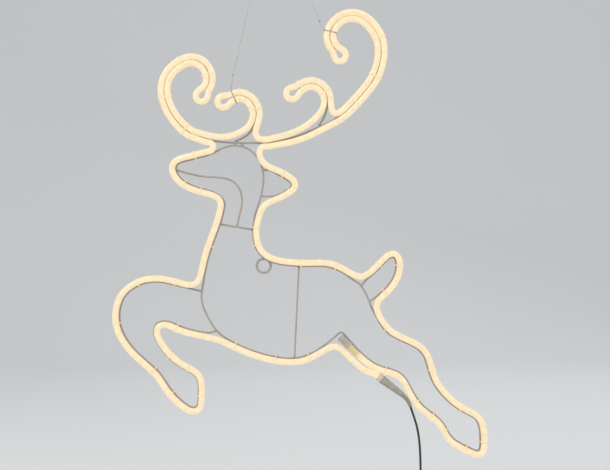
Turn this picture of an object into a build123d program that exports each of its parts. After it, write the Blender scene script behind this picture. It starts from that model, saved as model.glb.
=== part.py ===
"""Light-up yard reindeer: neon flex tied to a welded wire frame.

Millimetres, +X to the reindeer's tail, +Z up, the viewer at -Y. The origin is
the centre of the hanging ring, which holds the whole motif against a wall.
Every outline below is drawn flat as (x, z) points, seen from the front.
"""
import os
from math import cos, pi, radians, sin, sqrt, tan

from build123d import *

# ---------------------------------------------------------------- driving sizes
# overall: the strand's centre line, which the outline points are drawn for
drawn_width = 738.0
drawn_height = 886.0
motif_width = 738.0
motif_height = 886.0

# neon flex: a domed silicone channel with a ribbon of lamps sealed inside
neon_width = 12.0
neon_depth = 12.0
dome_radius = 5.4
strand_gap = 1.4
tip_loop_radius = 11.6
strip_width = 8.0
strip_thickness = 1.6
strip_back_wall = 2.0
strip_clearance = 0.2

# welded frame
wire_diameter = 4.0
brace_diameter = 3.2
frame_inset = 7.0
neon_seat_gap = 0.1
weld_gap = 0.02

# hanging ring
ring_bore = 23.0
ring_band = 5.0
ring_edge = 0.8

# cable ties
tie_width = 2.6
tie_thickness = 0.8
tie_clearance = 0.15
tie_head = 4.2
tie_head_height = 3.0

# feed end: collar, moulded boot, conductors and ribbed strain relief
collar_length = 9.0
collar_wall = 1.4
boot_length = 50.0
boot_large = 17.0
boot_small = 11.0
boot_bore = 6.0
boot_end_wall = 3.0
conductor_diameter = 1.8
conductor_pitch = 2.6
relief_length = 30.0
relief_turn = 34.0
relief_ribs = 6
rib_thickness = 2.4
relief_core = 6.4
relief_small = 7.8

# end cap on the strand's far end
cap_length = 26.0
cap_wall = 1.2
cap_pocket = 9.0
cap_clearance = 0.15

# low-voltage lead, its stored coil and its screw connector
lead_diameter = 4.5
lead_length = 3000.0
coil_turns_diameter = 50.0
coil_packing = 0.72
coil_tie_width = 6.0
coil_tie_thickness = 1.4
coil_tie_clearance = 0.2
connector_diameter = 13.0
connector_length = 34.0
connector_flange = 16.0
connector_chamfer = 1.5
flange_length = 3.0
socket_diameter = 8.6
socket_depth = 12.0
pin_diameter = 1.8
pin_pitch = 3.6
pin_length = 9.0
seal_thickness = 1.4
nut_bore_gap = 0.4
nut_wall = 2.2
nut_length = 17.0
nut_reach = 1.0
nut_flutes = 14
flute_diameter = 2.0

# nylon hanging lines
line_diameter = 1.2
line_band_width = 2.0
knot_diameter = 4.4

# ------------------------------------------------------------- depth of layers
ring_depth = 0.0
wire_depth = ring_depth + (ring_band + wire_diameter) / 2
neon_back_depth = wire_depth + wire_diameter / 2 + neon_seat_gap
neon_middle_depth = neon_back_depth + neon_depth / 2
strand_pitch = neon_width + strand_gap
bend_share = 0.45


# ------------------------------------------------------------- flat geometry
def drawn(*points):
    """Points of the drawing, stretched to the motif's own width and height."""
    wide = motif_width / drawn_width
    high = motif_height / drawn_height
    return [Vector(x * wide, z * high) for x, z in points]


def left_of(ahead):
    """The direction to the left of travel, as the viewer sees it."""
    return Vector(-ahead.Y, ahead.X)


def middle(start, end):
    return (start + end) * 0.5


def beside(points, distance):
    """A route parallel to another one, to its left where distance is positive."""
    ahead = [(end - start).normalized() for start, end in zip(points, points[1:])]
    arriving = [ahead[0]] + ahead
    leaving = ahead + [ahead[-1]]
    shifted = []
    for here, before, after in zip(points, arriving, leaving):
        mitre = (left_of(before) + left_of(after)) * (1 / (1 + before.dot(after)))
        shifted.append(here + mitre * distance)
    return shifted


def bend_radii(points):
    """The largest tidy bend at each corner of a route."""
    radii = []
    for before, corner, after in zip(points, points[1:], points[2:]):
        arriving = corner - before
        leaving = after - corner
        half_turn = radians(arriving.get_angle(leaving)) / 2
        shorter = min(arriving.length, leaving.length)
        radii.append(bend_share * shorter / tan(half_turn))
    return radii


def bent(points):
    """The same route without the points that lie on a straight run."""
    kept = [points[0]]
    for here, after in zip(points[1:], points[2:]):
        if (here - kept[-1]).get_angle(after - here) > 0.4:
            kept.append(here)
    return kept + [points[-1]]


def doubled_back(spine):
    """Out along a spine's left side, round a keyhole tip and back on its right."""
    ahead = (spine[-1] - spine[-2]).normalized()
    side = left_of(ahead)
    half_pitch = strand_pitch / 2
    out = beside(spine, half_pitch)
    back = beside(spine, -half_pitch)
    centre = spine[-1] + ahead * (1.5 * tip_loop_radius)
    loop = []
    for angle in (105, 68, 23, -23, -68, -105):
        reach = tip_loop_radius * 1.06
        loop.append(centre + ahead * reach * cos(radians(angle)) + side * reach * sin(radians(angle)))
    return out, loop, back[::-1]


# ------------------------------------------------------------------ drawing
# The strand is one length, drawn from the feed end to the end cap. Each stretch
# is a piece of it, cut in the middle of the run to the next stretch.
belly = drawn((236, -226), (224, -217), (201, -208.5), (184, -194), (167, -177), (155, -166),
              (145, -161), (134, -162), (121, -169), (103, -180), (83, -189), (61, -193),
              (37, -192), (9, -187), (-19, -179), (-47, -168), (-71, -156))
front_shin = drawn((-93, -147), (-113, -142), (-135, -138), (-163, -131), (-187, -120), (-200, -117),
                   (-211, -121), (-214, -133), (-208, -150), (-194, -170), (-177, -187), (-158, -200),
                   (-142, -208), (-129, -218), (-124, -232), (-123, -250), (-124, -268), (-126, -283))
front_leg = drawn((-134, -291), (-147, -291), (-162, -282), (-180, -266), (-194, -249), (-204, -233),
                  (-214, -219), (-231, -203), (-248, -188), (-266, -171), (-282, -150), (-293, -127),
                  (-297, -104), (-295, -82), (-288, -62), (-276, -47), (-260, -36), (-243, -28),
                  (-225, -25), (-205, -25), (-185, -29), (-167, -34))
neck_front = drawn((-151, -38), (-137, -37), (-129, -27), (-124, -10), (-120, 10), (-114, 31),
                   (-107, 51), (-99, 72), (-92, 92), (-87, 111), (-85, 125), (-90, 135))
muzzle = drawn((-103, 142), (-118, 146), (-134, 150), (-152, 157), (-168, 167), (-179, 180),
               (-184, 196), (-179, 209), (-165, 216), (-147, 220), (-129, 225))
brow = drawn((-116, 228), (-104, 231), (-99.5, 238.5), (-104, 246), (-120, 249), (-135, 255))
left_antler_spine = drawn((-148, 266), (-166, 281), (-183, 302), (-195, 326), (-200, 350),
                          (-197, 371), (-188, 388), (-173, 402), (-157, 411), (-143, 413),
                          (-130, 410), (-119, 402), (-111, 390), (-108, 376), (-110, 363), (-115, 355))
left_branch = drawn((-120, 264), (-99, 259), (-78, 258), (-59, 262), (-42, 270), (-29, 280))
left_curl_spine = drawn((-16, 292), (-14, 306), (-18, 321), (-28, 334), (-41, 341), (-54, 341), (-65, 336))
antler_root = drawn((-14, 277), (-17, 267), (-13, 257), (-4, 253), (8, 253), (23, 257),
                    (41, 261), (59, 267), (76, 275), (93, 286), (107, 299), (117, 312))
right_curl_spine = drawn((128, 326), (127, 341), (119, 355), (107, 363), (94, 366), (81, 362), (71, 355))
right_branch = drawn((136, 315), (139, 306), (148, 305))
right_antler_spine = drawn((163, 307), (178, 322), (191, 336), (204, 351), (218, 369), (228, 389),
                           (234, 410), (236, 430), (234, 448), (227, 466), (214, 484), (198, 497),
                           (179, 502), (161, 499), (146, 489), (136, 476), (132, 460), (135, 446), (143, 435))
antler_foot = drawn((149, 289), (131, 280), (113, 271), (83, 256), (53, 247), (31, 243))
ear = drawn((11, 239), (-2, 239), (-8, 232), (-8, 221), (-3, 209), (6, 201), (18, 195), (33, 189),
            (48, 181), (60, 172), (64, 162), (60, 153), (47, 144), (32, 136), (16, 130), (3, 123),
            (-4, 113), (-9, 99))
back = drawn((-13, 84), (-15, 68), (-13, 51), (-8, 35), (2, 23), (16, 15), (35, 10), (61, 7),
             (89, 6), (117, 7), (137, 4), (155, -3), (171, -13))
tail = drawn((185, -20), (197, -22), (209, -16), (223, -4), (237, 11), (249, 22), (260, 26),
             (269, 20), (273, 8), (273, -5), (270, -19), (262, -35), (251, -49), (239, -60))
hind_leg_back = drawn((229, -70), (226, -82), (230, -97), (241, -115), (255, -131), (275, -142),
                      (298, -152), (317, -163), (329, -179), (335, -198), (340, -216), (348, -235),
                      (365, -257), (386, -276), (406, -288), (422, -296))
hind_leg_front = drawn((434, -306), (440, -322), (442, -342), (442, -362), (438, -375), (427, -379),
                       (413, -373), (393, -363), (375, -352), (364, -337), (356, -321), (344, -308),
                       (327, -296), (310, -281), (298, -264), (288, -245), (279, -229), (268, -219),
                       (252, -213), (235, -209), (219, -202), (202, -190), (185, -174), (165, -154))

# Frame wires where they leave the strand, drawn on their own.
groin_line = drawn((156, -131), (133, -151))
chest_line = drawn((-84, -140), (-99, -125), (-111, -105), (-121, -84), (-125, -66), (-124, -51))
skull_line = drawn((-99, 227), (-86, 235), (-72, 240), (-58, 242), (-43, 240), (-29, 234),
                   (-16, 223), (-6, 206), (-1, 190), (0, 173), (-2, 156), (-5, 140), (-11, 122), (-18, 102))
tail_root_line = drawn((181, -29), (193, -36), (203, -51), (211, -68), (216, -83))
jaw_line = drawn((-180, 191), (-150, 185), (-121, 179), (-96, 178), (-77, 176), (-63, 171),
                 (-53, 162), (-46, 150), (-43, 134), (-44, 119), (-48, 104), (-54, 78))
neck_cross_line = drawn((-83, 82), (-23, 73))
ear_upper_strut = drawn((-1, 193), (13, 192))
ear_lower_strut = drawn((22, 139), (-5, 140))
front_leg_root = drawn((-94, -130), (-111, -135))
front_leg_end = drawn((-124, -50))
tail_start = drawn((196, -40), (205, -29))
tail_end = drawn((213, -72))
brace_line = drawn((71, 0), (62, -186))
bridge_line = drawn((-133, 260), (-116, 254), (-97, 250), (-78, 248), (-57, 247), (-36, 246.5),
                    (-16, 247), (2, 246), (28, 249), (54, 256), (83, 266), (112, 279), (140, 292))
left_curl_foot = drawn((-63, 248), (-45, 255), (-33, 262), (-23, 273))
right_curl_foot = drawn((108, 277), (120, 295), (126, 311))

# ------------------------------------------------------------------ makers
def save(name, part):
    part.label = name
    export_step(part, f"parts/{name}.step")


def flat(point, depth):
    """A point of the drawing in space, the given depth in front of the ring."""
    return Vector(point.X, -depth, point.Y)


def across_plane(start, end, share, depth):
    """The plane square to a run: its x points to the left, its y to the viewer."""
    ahead = (end - start).normalized()
    side = left_of(ahead)
    origin = flat(start + (end - start) * share, depth)
    return Plane(origin=origin, x_dir=(side.X, 0, side.Y), z_dir=(ahead.X, 0, ahead.Y))


def swept(section, points, radii, depth):
    """A section swept along straight runs joined by tangent arcs."""
    corners = [(point.X, point.Y) for point in points]
    with BuildPart() as piece:
        with BuildLine(Plane.XZ.offset(depth)) as route:
            if radii:
                FilletPolyline(*corners, radius=radii)
            else:
                Line(*corners)
        with BuildSketch(across_plane(points[0], points[1], 0, depth)):
            add(section)
        sweep(path=route.line)
    return piece.part


def round_section(diameter):
    with BuildSketch() as section:
        Circle(diameter / 2)
    return section.sketch


def domed_section(growth):
    """The neon's outline, standing on its flat back and grown by a wall."""
    with BuildSketch() as section:
        Rectangle(neon_width + 2 * growth, neon_depth + 2 * growth)
        fillet(section.vertices().group_by(Axis.Y)[-1], dome_radius + growth)
    return section.sketch


def backing(points):
    """A wire's route behind the strand, on the body's inner side."""
    return beside(points, -frame_inset)


def nearest(point, route):
    """The closest place to a point on a route of straight runs, and its direction."""
    found = None
    for start, end in zip(route, route[1:]):
        run = end - start
        share = max(0.0, min(1.0, (point - start).dot(run) / run.dot(run)))
        here = start + run * share
        if found is None or (here - point).length < (found[0] - point).length:
            found = here, run.normalized()
    return found


def butted(start, following, route, radius):
    """Where a wire's flat end just meets the side of the wire that it is welded to."""
    touch, along = nearest(start, route)
    ahead = (following - touch).normalized()
    slant = abs(ahead.dot(along))
    square = sqrt(1 - slant * slant)
    return touch + ahead * ((wire_diameter / 2 + radius * slant) / square + weld_gap)


def welded(points, start_on=None, end_on=None, radius=wire_diameter / 2):
    """A route whose ends are trimmed to butt against the wires they are welded to."""
    points = list(points)
    if start_on:
        points[0] = butted(points[0], points[1], start_on, radius)
    if end_on:
        points[-1] = butted(points[-1], points[-2], end_on, radius)
    return points


def save_pieces(pieces, section, depth):
    """One long run of wire or flex, cut in the middle of the run between two pieces."""
    whole = [point for points in pieces.values() for point in points]
    first = 0
    for name, points in pieces.items():
        last = first + len(points)
        polygon = bent(whole[max(first - 1, 0):last + 1])
        radii = bend_radii(polygon)
        if first > 0:
            polygon[0] = middle(whole[first - 1], whole[first])
        if last < len(whole):
            polygon[-1] = middle(whole[last - 1], whole[last])
        save(name, swept(section, polygon, radii, depth))
        first = last
    return whole


os.makedirs("parts", exist_ok=True)

# ---------------------------------------------------------------- the strand
left_antler_out, left_antler_tip, left_antler_back = doubled_back(left_antler_spine)
left_curl_out, left_curl_tip, left_curl_back = doubled_back(left_curl_spine)
right_curl_out, right_curl_tip, right_curl_back = doubled_back(right_curl_spine)
right_antler_out, right_antler_tip, right_antler_back = doubled_back(right_antler_spine)

stretches = {
    "neon_belly": belly,
    "neon_front_shin": front_shin,
    "neon_front_leg": front_leg,
    "neon_neck_front": neck_front,
    "neon_muzzle": muzzle + brow,
    "neon_left_antler_outer": left_antler_out + left_antler_tip,
    "neon_left_antler_inner": left_antler_back + left_branch,
    "neon_left_curl": left_curl_out + left_curl_tip + left_curl_back,
    "neon_antler_root": antler_root,
    "neon_right_curl": right_curl_out + right_curl_tip + right_curl_back + right_branch,
    "neon_right_antler_inner": right_antler_out + right_antler_tip,
    "neon_right_antler_outer": right_antler_back + antler_foot,
    "neon_ear": ear,
    "neon_back": back,
    "neon_tail": tail,
    "neon_hind_leg_back": hind_leg_back,
    "neon_hind_leg_front": hind_leg_front,
}

channel_width = strip_width + 2 * strip_clearance
channel_depth = strip_thickness + 2 * strip_clearance
channel_middle = strip_back_wall + channel_depth / 2 - neon_depth / 2
with BuildSketch() as neon_section:
    add(domed_section(0))
    with Locations((0, channel_middle)):
        Rectangle(channel_width, channel_depth, mode=Mode.SUBTRACT)
with BuildSketch() as strip_section:
    with Locations((0, channel_middle)):
        Rectangle(strip_width, strip_thickness)

strand = save_pieces(stretches, neon_section.sketch, neon_middle_depth)
strip_route = bent(strand)
save("led_strip", swept(strip_section.sketch, strip_route, bend_radii(strip_route), neon_middle_depth))

# ---------------------------------------------------------------- the frame
wire_section = round_section(wire_diameter)
knee = middle(*drawn((173, -150), (156, -131)))
body_frame = {
    "belly_wire": [knee] + groin_line + backing(belly[8:]),
    "chest_wire": chest_line,
    "neck_wire": backing(neck_front[3:]),
    "muzzle_wire": backing(muzzle + brow[:1]),
    "skull_wire": skull_line,
    "back_wire": backing(back) + tail_root_line,
    "hind_leg_back_wire": backing(hind_leg_back[3:]),
    "hind_leg_front_wire": backing(hind_leg_front[:-1]) + [knee],
}
body_loop = save_pieces(body_frame, wire_section, wire_depth)

antler_frame = {
    "left_antler_wire": left_antler_spine[::-1],
    "antler_bridge_wire": bridge_line,
    "right_antler_wire": right_antler_spine,
}
save_pieces(antler_frame, wire_section, wire_depth)

neck_cross = welded(neck_cross_line, body_frame["neck_wire"], body_frame["back_wire"])
side_frame = {
    "neck_cross_wire": neck_cross,
    "jaw_wire": welded(jaw_line, body_frame["muzzle_wire"], neck_cross),
    "ear_wire": welded(ear_upper_strut + backing(ear[7:13]) + ear_lower_strut, skull_line, skull_line),
    "front_leg_wire": welded(front_leg_root + backing(front_shin[2:] + front_leg) + front_leg_end,
                             chest_line, chest_line),
    "tail_wire": welded(tail_start + backing(tail[3:]) + tail_end, tail_root_line, tail_root_line),
    "left_curl_wire": welded(left_curl_foot + left_curl_spine, bridge_line),
    "right_curl_wire": welded(right_curl_foot + right_curl_spine, bridge_line),
}
for name, route in side_frame.items():
    route = bent(route)
    save(name, swept(wire_section, route, bend_radii(route), wire_depth))

brace = welded(brace_line, body_loop, body_loop, brace_diameter / 2)
save("belly_brace", swept(round_section(brace_diameter), brace, [], wire_depth))

with BuildPart() as hanging_ring:
    with BuildSketch(Plane.XZ):
        Circle(ring_bore / 2 + ring_band)
        Circle(ring_bore / 2, mode=Mode.SUBTRACT)
    extrude(amount=ring_band / 2, both=True)
    fillet(hanging_ring.edges(), ring_edge)
save("hanging_ring", hanging_ring.part)

# ---------------------------------------------------------------- end cap
cap_start, cap_end = strand[-2], strand[-1]
cap_run = (cap_end - cap_start).length
cap_front = neon_depth + cap_wall
pocket_share = 1 - cap_pocket / cap_run


def open_backed(front_depth, wall):
    """The neon's outline grown at its sides and front, with its back left flush."""
    with BuildSketch() as section:
        with Locations((0, (front_depth - neon_depth) / 2)):
            Rectangle(neon_width + 2 * wall, front_depth)
        fillet(section.vertices().group_by(Axis.Y)[-1], dome_radius + wall)
    return section.sketch


with BuildPart() as neon_end_cap:
    with BuildSketch(across_plane(cap_start, cap_end, pocket_share, neon_middle_depth)):
        add(open_backed(cap_front, cap_wall))
    extrude(amount=cap_length)
    with BuildSketch(across_plane(cap_start, cap_end, pocket_share, neon_middle_depth)):
        add(open_backed(neon_depth + cap_clearance, cap_clearance))
    extrude(amount=cap_pocket, mode=Mode.SUBTRACT)
    fillet(neon_end_cap.faces().sort_by(Axis.X)[0].edges(), cap_wall * 0.8)
save("neon_end_cap", neon_end_cap.part)

# ---------------------------------------------------------------- feed end
feed_start, feed_end = strand[1], strand[0]
feed_run = (feed_end - feed_start).length
feed_ahead = (feed_end - feed_start).normalized()
collar_share = 1 - collar_length / feed_run
boot_end = feed_end + feed_ahead * boot_length
feed_plane = across_plane(feed_start, feed_end, 1, neon_middle_depth)
boot_end_plane = across_plane(feed_end, boot_end, 1, neon_middle_depth)

with BuildPart() as feed_collar:
    with BuildSketch(across_plane(feed_start, feed_end, collar_share, neon_middle_depth)):
        add(open_backed(neon_depth + collar_wall, collar_wall))
        add(open_backed(neon_depth + cap_clearance, cap_clearance), mode=Mode.SUBTRACT)
    extrude(amount=collar_length)
save("feed_collar", feed_collar.part)

with BuildPart() as feed_boot:
    with BuildSketch(feed_plane):
        Circle(boot_large / 2)
    with BuildSketch(boot_end_plane):
        Circle(boot_small / 2)
    loft()
    with BuildSketch(feed_plane):
        Circle(boot_bore / 2)
    extrude(amount=boot_length - boot_end_wall, mode=Mode.SUBTRACT)
save("feed_boot", feed_boot.part)

with BuildPart() as feed_conductors:
    with BuildSketch(feed_plane):
        with GridLocations(conductor_pitch, 0, 2, 1):
            Circle(conductor_diameter / 2)
    extrude(amount=boot_length - boot_end_wall)
save("feed_conductors", feed_conductors.part)

with BuildLine(Plane.XZ.offset(neon_middle_depth)) as relief_line:
    JernArc(start=(boot_end.X, boot_end.Y), tangent=(feed_ahead.X, feed_ahead.Y),
            radius=relief_length / radians(relief_turn), arc_size=-relief_turn)
relief_path = relief_line.line
relief_exit = relief_path @ 1
relief_ahead = relief_path % 1


def relief_plane(share):
    return Plane(origin=relief_path @ share, x_dir=(0, -1, 0), z_dir=relief_path % share)


with BuildPart() as strain_relief:
    with BuildSketch(relief_plane(0)):
        Circle(relief_core / 2)
    sweep(path=relief_path)
    rib_half = rib_thickness / 2 / relief_length
    for rib in range(relief_ribs):
        share = 2 * rib_half + rib / (relief_ribs - 1) * (1 - 3 * rib_half)
        across = boot_small + (relief_small - boot_small) * share
        with BuildSketch(relief_plane(share)):
            Circle(across / 2)
        extrude(amount=rib_thickness / 2, both=True)
save("strain_relief", strain_relief.part)

# ---------------------------------------------------------------- the lead
# Chosen route, from the strain relief straight out and then hanging down.
lead_points = [Vector(relief_exit.X, relief_exit.Z) + Vector(x, z) for x, z in (
    (0, 0), (4.4, -12.8), (9.1, -26.5), (13.4, -41), (16.9, -59), (19.3, -81), (20.4, -108), (20.3, -143), (20.6, -176))]
lead_end_points = [lead_points[-1] + Vector(x, z) for x, z in (
    (-2.5, 0), (-1.5, -16), (-2.5, -33), (-2.5, -49))]
lead_section = round_section(lead_diameter)
tube_lengths = []
for name, route in (("lead", lead_points), ("lead_end", lead_end_points)):
    radii = bend_radii(route)
    tube = swept(lead_section, route, radii, neon_middle_depth)
    tube_lengths.append(tube.volume / lead_section.area)
    print(name, "radii", [round(radius, 1) for radius in radii], "length", round(tube_lengths[-1], 1))
    save(name, tube)

coil_turns = (lead_length - sum(tube_lengths)) / (pi * coil_turns_diameter)
coil_radius = lead_diameter / 2 * sqrt(coil_turns / coil_packing)
# The lead meets the coil in its outer layer.
coil_centre = lead_points[-1] - Vector(coil_turns_diameter / 2 + coil_radius - lead_diameter, 0)
coil_plane = Plane(origin=flat(coil_centre, neon_middle_depth), x_dir=(1, 0, 0), z_dir=(0, -1, 0))
print("coil turns", round(coil_turns, 2), "section radius", round(coil_radius, 2))

with BuildPart(coil_plane) as lead_coil:
    Torus(coil_turns_diameter / 2, coil_radius)
save("lead_coil", lead_coil.part)

tie_place = coil_plane * Plane(origin=(0, coil_turns_diameter / 2, 0), x_dir=(0, 1, 0), z_dir=(1, 0, 0))
with BuildPart() as coil_tie:
    with BuildSketch(tie_place):
        Circle(coil_radius + coil_tie_clearance + coil_tie_thickness)
        Circle(coil_radius + coil_tie_clearance, mode=Mode.SUBTRACT)
    extrude(amount=coil_tie_width / 2, both=True)
save("coil_tie", coil_tie.part)

# ---------------------------------------------------------------- connector
connector_top = flat(lead_end_points[-1], neon_middle_depth)
connector_ahead = flat(lead_end_points[-1], 0) - flat(lead_end_points[-2], 0)
connector_plane = Plane(origin=connector_top, x_dir=(0, -1, 0), z_dir=connector_ahead)


def station(distance):
    return connector_plane.offset(distance)


socket_floor = connector_length - socket_depth
flange_start = connector_length - nut_length + nut_wall + nut_bore_gap + nut_reach
with BuildPart() as connector_body:
    with BuildSketch(station(0)):
        Circle(connector_diameter / 2)
    extrude(amount=connector_length)
    chamfer(connector_body.faces().sort_by(Axis.Z)[-1].edges(), connector_chamfer)
    with BuildSketch(station(flange_start)):
        Circle(connector_flange / 2)
    extrude(amount=flange_length)
    with BuildSketch(station(socket_floor)):
        Circle(socket_diameter / 2)
    extrude(amount=socket_depth, mode=Mode.SUBTRACT)
save("connector_body", connector_body.part)

with BuildPart() as connector_pins:
    with BuildSketch(station(socket_floor)):
        with GridLocations(pin_pitch, 0, 2, 1):
            Circle(pin_diameter / 2)
    extrude(amount=pin_length)
save("connector_pins", connector_pins.part)

seal_start = connector_length - 2.5 * seal_thickness
with BuildPart() as connector_seal:
    with BuildSketch(station(seal_start)):
        Circle(connector_diameter / 2 + seal_thickness)
        Circle(connector_diameter / 2, mode=Mode.SUBTRACT)
    extrude(amount=seal_thickness)
    fillet(connector_seal.edges(), seal_thickness / 4)
save("connector_seal", connector_seal.part)

nut_start = flange_start - nut_bore_gap - nut_wall
nut_bore = connector_flange / 2 + nut_bore_gap
nut_outside = nut_bore + nut_wall
with BuildPart() as screw_collar:
    with BuildSketch(station(nut_start)):
        Circle(nut_outside)
        with PolarLocations(nut_outside + flute_diameter / 4, nut_flutes):
            Circle(flute_diameter / 2, mode=Mode.SUBTRACT)
    extrude(amount=nut_length)
    with BuildSketch(station(nut_start)):
        Circle(connector_diameter / 2 + nut_bore_gap)
    extrude(amount=nut_length, mode=Mode.SUBTRACT)
    with BuildSketch(station(nut_start + nut_wall)):
        Circle(nut_bore)
    extrude(amount=nut_length - nut_wall, mode=Mode.SUBTRACT)
save("screw_collar", screw_collar.part)

# ---------------------------------------------------------------- cable ties
def around(strand_places, wire_place):
    """The hull of the strands and the wire behind them, seen along the strand."""
    with BuildSketch() as hull:
        for place in strand_places:
            with Locations((place, neon_middle_depth)):
                Rectangle(neon_width, neon_depth)
        with Locations((wire_place, wire_depth)):
            Circle(wire_diameter / 2)
        make_hull()
    return hull.sketch


def band(points, run, strand_places, wire_place, thickness, width):
    """A closed band, square to one run of a route."""
    hull = around(strand_places, wire_place)
    with BuildPart() as loop:
        with BuildSketch(across_plane(points[run], points[run + 1], 0.5, 0)):
            offset(hull, amount=tie_clearance + thickness)
            offset(hull, amount=tie_clearance, mode=Mode.SUBTRACT)
        extrude(amount=width / 2, both=True)
    return loop.part


def cable_tie(points, run, strand_places, wire_place):
    """A band with its square head on the wire's side."""
    reach = min(strand_places) - neon_width / 2
    head_place = min(reach, wire_place - wire_diameter / 2) - tie_clearance - tie_head_height / 2
    with BuildPart() as tie:
        add(band(points, run, strand_places, wire_place, tie_thickness, tie_width))
        with BuildSketch(across_plane(points[run], points[run + 1], 0.5, 0)):
            with Locations((head_place, neon_back_depth + tie_head / 2)):
                Rectangle(tie_head_height, tie_head)
        extrude(amount=tie_head / 2, both=True)
    return tie.part


single = [0.0]
pair = [strand_pitch / 2, -strand_pitch / 2]
tie_groups = {
    "front_leg_ties": [(front_shin, 3, single), (front_shin, 9, single), (front_shin, 11, single),
                       (front_shin, 15, single), (front_leg, 3, single), (front_leg, 6, single),
                       (front_leg, 11, single), (front_leg, 16, single), (front_leg, 20, single)],
    "body_ties": [(belly, 9, single), (belly, 12, single), (belly, 15, single), (neck_front, 5, single),
                  (back, 2, single), (back, 7, single), (back, 10, single)],
    "head_ties": [(muzzle, 1, single), (muzzle, 3, single), (muzzle, 9, single),
                  (ear, 7, single), (ear, 11, single), (back, 0, single)],
    "tail_ties": [(tail, 3, single), (tail, 8, single), (tail, 12, single)],
    "hind_leg_ties": [(hind_leg_back, 3, single), (hind_leg_back, 9, single), (hind_leg_back, 13, single),
                      (hind_leg_front, 2, single), (hind_leg_front, 6, single), (hind_leg_front, 9, single),
                      (hind_leg_front, 11, single), (hind_leg_front, 13, single), (hind_leg_front, 18, single)],
    "left_antler_ties": [(left_antler_spine, 0, pair), (left_antler_spine, 3, pair),
                         (left_antler_spine, 7, pair), (left_antler_spine, 12, pair),
                         (left_curl_spine, 1, pair), (left_curl_spine, 4, pair)],
    "right_antler_ties": [(right_antler_spine, 1, pair), (right_antler_spine, 4, pair),
                          (right_antler_spine, 8, pair), (right_antler_spine, 13, pair),
                          (right_antler_spine, 17, pair), (right_curl_spine, 1, pair),
                          (right_curl_spine, 5, pair)],
}
for name, places in tie_groups.items():
    with BuildPart() as ties:
        for points, run, strands in places:
            add(cable_tie(points, run, strands, 0.0 if strands is pair else -frame_inset))
    save(name, ties.part)


# ------------------------------------------------------------- hanging lines
def hanging_line(spine, run, knot, top):
    """A nylon line round a pair of strands, with a knot above it and one at its end."""
    start, end = spine[run], spine[run + 1]
    edge = strand_pitch / 2 + neon_width / 2 + tie_clearance + line_diameter / 2
    foot = middle(start, end) - left_of((end - start).normalized()) * edge
    with BuildPart(Plane.XZ.offset(neon_middle_depth)) as knots:
        with Locations((knot.X, knot.Y), (top.X, top.Y)):
            Sphere(knot_diameter / 2)
    with BuildPart() as line:
        add(band(spine, run, pair, 0.0, line_diameter, line_band_width))
        add(swept(round_section(line_diameter), [foot, knot], [], neon_middle_depth))
        add(swept(round_section(line_diameter), [knot, top], [], neon_middle_depth))
        add(knots.part)
    return line.part


left_knot, left_top, right_knot, right_top = drawn((-61, 382), (-23, 546), (112, 490), (89, 546))
save("left_hanging_line", hanging_line(left_curl_spine, 5, left_knot, left_top))
save("right_hanging_line", hanging_line(right_antler_spine, 15, right_knot, right_top))
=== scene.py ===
"""Light-up yard reindeer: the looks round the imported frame.

Metres, +X to the tail, +Z up, the viewer at -Y. The origin is the centre of the
hanging ring. The frame's own solids stay where they are and get their finishes;
weld beads, tie tails, the lead and the hanging lines are made here.
"""
import math

import bmesh
import bpy
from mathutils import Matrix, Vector


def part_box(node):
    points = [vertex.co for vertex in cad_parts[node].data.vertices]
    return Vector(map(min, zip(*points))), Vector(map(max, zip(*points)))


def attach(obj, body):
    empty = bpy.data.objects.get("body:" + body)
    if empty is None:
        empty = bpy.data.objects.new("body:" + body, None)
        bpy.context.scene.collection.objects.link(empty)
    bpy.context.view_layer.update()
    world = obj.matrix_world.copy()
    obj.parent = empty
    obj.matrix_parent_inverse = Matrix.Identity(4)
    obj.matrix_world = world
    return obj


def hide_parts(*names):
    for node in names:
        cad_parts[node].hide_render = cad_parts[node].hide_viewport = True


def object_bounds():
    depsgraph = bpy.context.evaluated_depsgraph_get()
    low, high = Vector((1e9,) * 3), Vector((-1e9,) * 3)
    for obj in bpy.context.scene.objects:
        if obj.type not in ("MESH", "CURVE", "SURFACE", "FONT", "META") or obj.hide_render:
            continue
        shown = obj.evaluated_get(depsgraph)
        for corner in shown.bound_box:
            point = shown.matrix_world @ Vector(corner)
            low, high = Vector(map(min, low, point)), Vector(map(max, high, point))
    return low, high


bl_info = {
    "name": "Light-up yard reindeer",
    "version": (1, 0, 0),
    "blender": (4, 5, 0),
    "location": "3D View > Sidebar > Reindeer",
    "description": "Finishes and small parts for a neon flex reindeer on a wire frame",
    "category": "Object",
}

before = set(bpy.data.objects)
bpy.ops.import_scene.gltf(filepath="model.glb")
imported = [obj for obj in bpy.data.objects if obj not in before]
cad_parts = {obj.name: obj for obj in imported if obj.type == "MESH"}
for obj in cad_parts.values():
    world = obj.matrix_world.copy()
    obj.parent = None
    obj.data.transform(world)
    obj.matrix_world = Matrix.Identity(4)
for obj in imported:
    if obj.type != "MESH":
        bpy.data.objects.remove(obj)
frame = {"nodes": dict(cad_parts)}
cad_low, cad_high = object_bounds()
neon_low, neon_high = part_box("neon_back")
wire_low, wire_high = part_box("back_wire")
NEON_FRONT = neon_low.y
NEON_BACK = neon_high.y
NEON_MIDDLE = (NEON_FRONT + NEON_BACK) / 2
WIRE_MIDDLE = (wire_low.y + wire_high.y) / 2


# ------------------------------------------------------------------ settings
def colour(name, description, value):
    return bpy.props.FloatVectorProperty(
        name=name, description=description, default=value, size=3, min=0, max=1, subtype="COLOR")


def size(name, description, value):
    return bpy.props.FloatProperty(
        name=name, description=description, default=value, min=0, precision=5, unit="LENGTH")


def share(name, description, value, largest=1.0):
    return bpy.props.FloatProperty(
        name=name, description=description, default=value, min=0, max=largest, subtype="FACTOR")


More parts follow.
